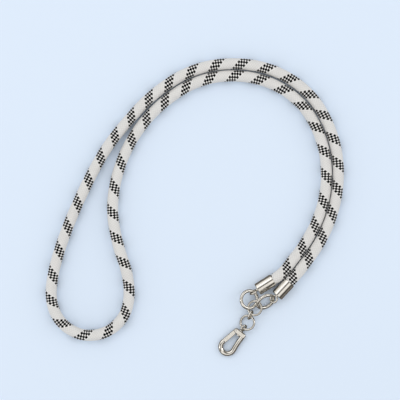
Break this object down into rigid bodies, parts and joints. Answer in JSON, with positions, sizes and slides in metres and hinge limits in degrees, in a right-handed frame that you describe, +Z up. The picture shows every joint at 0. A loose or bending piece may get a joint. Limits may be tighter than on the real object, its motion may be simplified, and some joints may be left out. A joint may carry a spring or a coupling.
{
  "type": "neck lanyard",
  "caption": "Neck lanyard of round braided rope, its ends in metal caps joined by rings and a small chain to a swivelling hook with a sprung gate.",
  "frame": {"origin": "on the surface it lies on, under the middle of the metal parts", "axes": "+Z up off the surface it lies flat on; the arc of rope is towards +Y and the hook points to -X and -Y"},
  "size_m": [0.2094, 0.2089, 0.0116],
  "materials": {
    "braid": "matt, braided, off-white with a black spiral",
    "filler": "matt",
    "nickel": "bright plated",
    "adhesive": "clear, set",
    "pin_steel": "drawn",
    "spring_steel": "drawn"
  },
  "bodies": {
    "rope_loop": {"rope_sheath": "braid", "rope_core": "filler", "left_end_cap": "nickel", "left_cap_eye": "nickel", "left_glue_plug": "adhesive", "right_end_cap": "nickel", "right_cap_eye": "nickel", "right_glue_plug": "adhesive"},
    "left_ring_body": {"left_ring": "nickel"},
    "right_ring_body": {"right_ring": "nickel"},
    "centre_ring_body": {"centre_ring": "nickel"},
    "chain_link_body": {"chain_link": "nickel"},
    "lower_ring_body": {"lower_ring": "nickel"},
    "swivel": {"hook_swivel_eye": "nickel"},
    "hook": {"hook_body": "nickel", "gate_pin": "pin_steel", "gate_spring": "spring_steel"},
    "gate": {"hook_gate": "nickel"}
  },
  "joints": [
    {"name": "left_ring_swing", "type": "hinge", "parent": "rope_loop", "child": "left_ring_body", "pos_m": [-0.00188, 0.0165, 0.00393], "axis": [-0.9452, 0.3257, -0.0233], "range_deg": [-24, 6]},
    {"name": "right_ring_swing", "type": "hinge", "parent": "rope_loop", "child": "right_ring_body", "pos_m": [-0.00188, 0.0165, 0.00393], "axis": [-0.9452, 0.3257, -0.0233], "range_deg": [-24, 6]},
    {"name": "centre_ring_swing", "type": "hinge", "parent": "left_ring_body", "child": "centre_ring_body", "pos_m": [-0.00258, 0.00564, 0.00398], "axis": [0.9233, 0.1802, 0.3392], "range_deg": [-3, 10]},
    {"name": "chain_link_swing", "type": "hinge", "parent": "centre_ring_body", "child": "chain_link_body", "pos_m": [-0.00361, 0.00121, 0.00386], "axis": [0.7506, -0.5785, 0.3193], "range_deg": [-40, 40]},
    {"name": "lower_ring_swing", "type": "hinge", "parent": "chain_link_body", "child": "lower_ring_body", "pos_m": [-0.00482, -0.00224, 0.00317], "axis": [0.3799, 0.0831, -0.9213], "range_deg": [-18, 30]},
    {"name": "swivel_eye_swing", "type": "hinge", "parent": "lower_ring_body", "child": "swivel", "pos_m": [-0.00873, -0.00918, 0.00249], "axis": [0.7793, -0.5459, 0.3078], "range_deg": [-60, 60]},
    {"name": "hook_swivel", "type": "hinge", "parent": "swivel", "child": "hook", "pos_m": [-0.00862, -0.00879, 0.00271], "axis": [-0.615, -0.7872, -0.0455], "continuous": true},
    {"name": "gate_hinge", "type": "hinge", "parent": "hook", "child": "gate", "pos_m": [-0.0137, -0.01059, 0.0025], "axis": [-0.028, -0.0358, 0.999], "range_deg": [0, 26], "stiffness_Nm_per_rad": 0.02, "springref_deg": -34.38, "deforming": ["gate_spring"]}
  ],
  "couplings": [
    {"joint": "right_ring_swing", "follows": "left_ring_swing", "ratio": 1}
  ]
}
